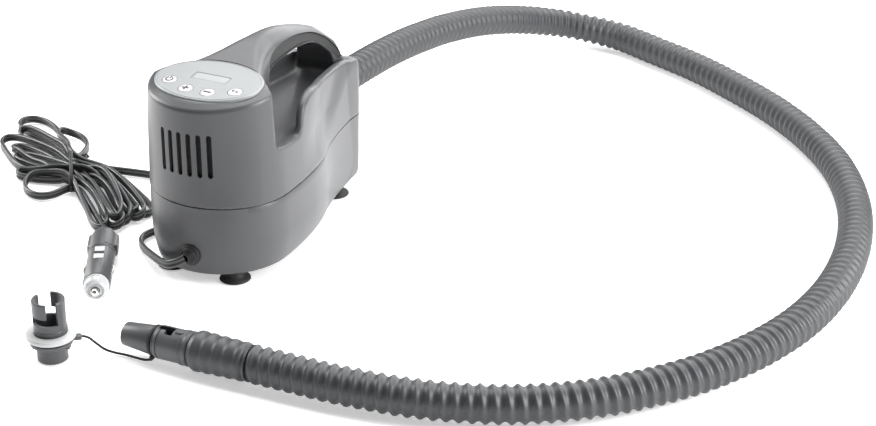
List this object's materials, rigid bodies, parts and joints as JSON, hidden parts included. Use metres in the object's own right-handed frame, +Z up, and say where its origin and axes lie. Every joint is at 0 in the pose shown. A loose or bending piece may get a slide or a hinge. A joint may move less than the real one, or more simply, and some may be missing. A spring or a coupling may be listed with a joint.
{
  "type": "electric air mattress pump",
  "caption": "Portable low voltage air pump with carry handle, panel buttons, corrugated hose with twist nozzle, loose valve adapter and hanked lead with a vehicle plug.",
  "frame": {"origin": "bottom centre of the pump body's bounding box, on the floor under the feet", "axes": "+Y from the round front end towards the rear hose outlet, +X to the right seen from the front, +Z up"},
  "size_m": [0.7987, 0.8122, 0.1694],
  "materials": {
    "shell_grey": "satin",
    "grip_dark": "fine texture",
    "panel_silver": "satin",
    "display_clear": "clear gloss",
    "lcd": "matte",
    "button_white": "satin",
    "board_green": "matte",
    "blower_black": "matte",
    "impeller_white": "satin",
    "filter_foam": "open foam",
    "motor_steel": "zinc plated",
    "hose_grey": "matte",
    "fitting_grey": "satin",
    "soft_rubber": "matte",
    "gasket_white": "matte",
    "cord_grey": "satin",
    "tie_black": "satin",
    "cap_clear": "frosted",
    "fuse_glass": "clear",
    "contact_metal": "nickel plated"
  },
  "bodies": {
    "pump": {"lower_housing": "shell_grey", "upper_housing": "shell_grey", "handle_grip": "grip_dark", "control_panel": "panel_silver", "display_window": "display_clear", "plug_window": "display_clear", "display_module": "lcd", "control_board": "board_green", "power_board": "board_green", "volute_lower": "blower_black", "diffuser_plate": "blower_black", "volute_cover": "blower_black", "motor_mount": "blower_black", "outlet_socket": "blower_black", "cord_clamp": "blower_black", "intake_filter": "filter_foam", "blower_motor": "motor_steel", "flap_pin": "motor_steel", "screw_front_right": "motor_steel", "screw_front_left": "motor_steel", "screw_rear_right": "motor_steel", "screw_rear_left": "motor_steel", "hose_tube": "hose_grey", "hose_cuff": "hose_grey", "outlet_duct": "hose_grey", "hose_connector": "fitting_grey", "nozzle_collar": "fitting_grey", "adapter_body": "fitting_grey", "plug_grip": "fitting_grey", "plug_barrel": "fitting_grey", "cord_grommet": "soft_rubber", "foot_front_right": "soft_rubber", "foot_front_left": "soft_rubber", "foot_rear_right": "soft_rubber", "foot_rear_left": "soft_rubber", "adapter_gasket": "gasket_white", "power_cord": "cord_grey", "cord_hank": "cord_grey", "cord_tail": "cord_grey", "cord_tie": "tie_black", "tether_ring": "tie_black", "tether": "tie_black", "plug_cap": "cap_clear", "plug_fuse": "fuse_glass"},
    "rotor": {"motor_shaft": "motor_steel", "impeller_lower": "impeller_white", "impeller_upper": "impeller_white"},
    "flap": {"check_flap": "soft_rubber"},
    "power_key": {"button_power": "button_white"},
    "plus_key": {"button_plus": "button_white"},
    "minus_key": {"button_minus": "button_white"},
    "mode_key": {"button_mode": "button_white"},
    "centre_contact": {"plug_pin": "contact_metal"},
    "left_contact": {"plug_contact_left": "contact_metal"},
    "right_contact": {"plug_contact_right": "contact_metal"},
    "nozzle": {"nozzle_tip": "fitting_grey"}
  },
  "joints": [
    {"name": "power_press", "type": "slide", "parent": "pump", "child": "power_key", "axis": [0, 0.1184, -0.993], "range_m": [0, 0.0008], "stiffness_N_per_m": 400},
    {"name": "plus_press", "type": "slide", "parent": "pump", "child": "plus_key", "axis": [0, 0.1184, -0.993], "range_m": [0, 0.0008], "stiffness_N_per_m": 400},
    {"name": "minus_press", "type": "slide", "parent": "pump", "child": "minus_key", "axis": [0, 0.1184, -0.993], "range_m": [0, 0.0008], "stiffness_N_per_m": 400},
    {"name": "mode_press", "type": "slide", "parent": "pump", "child": "mode_key", "axis": [0, 0.1184, -0.993], "range_m": [0, 0.0008], "stiffness_N_per_m": 400},
    {"name": "rotor_spin", "type": "hinge", "parent": "pump", "child": "rotor", "pos_m": [0, -0.05, 0.05], "axis": [0, 0, 1], "continuous": true},
    {"name": "flap_swing", "type": "hinge", "parent": "pump", "child": "flap", "pos_m": [0, 0.0861, 0.0932], "axis": [1, 0, 0], "range_deg": [0, 45]},
    {"name": "centre_contact_press", "type": "slide", "parent": "pump", "child": "centre_contact", "axis": [-0.5105, 0.8599, 0], "range_m": [0, 0.003], "stiffness_N_per_m": 500},
    {"name": "left_contact_press", "type": "slide", "parent": "pump", "child": "left_contact", "axis": [-0.8599, -0.5105, 0], "range_m": [0, 0.0012], "stiffness_N_per_m": 500},
    {"name": "right_contact_press", "type": "slide", "parent": "pump", "child": "right_contact", "axis": [0.8599, 0.5105, 0], "range_m": [0, 0.0012], "stiffness_N_per_m": 500},
    {"name": "nozzle_twist", "type": "hinge", "parent": "pump", "child": "nozzle", "pos_m": [0.03724, -0.23211, 0.0155], "axis": [-0.9996, -0.0279, 0], "range_deg": [0, 45]}
  ]
}
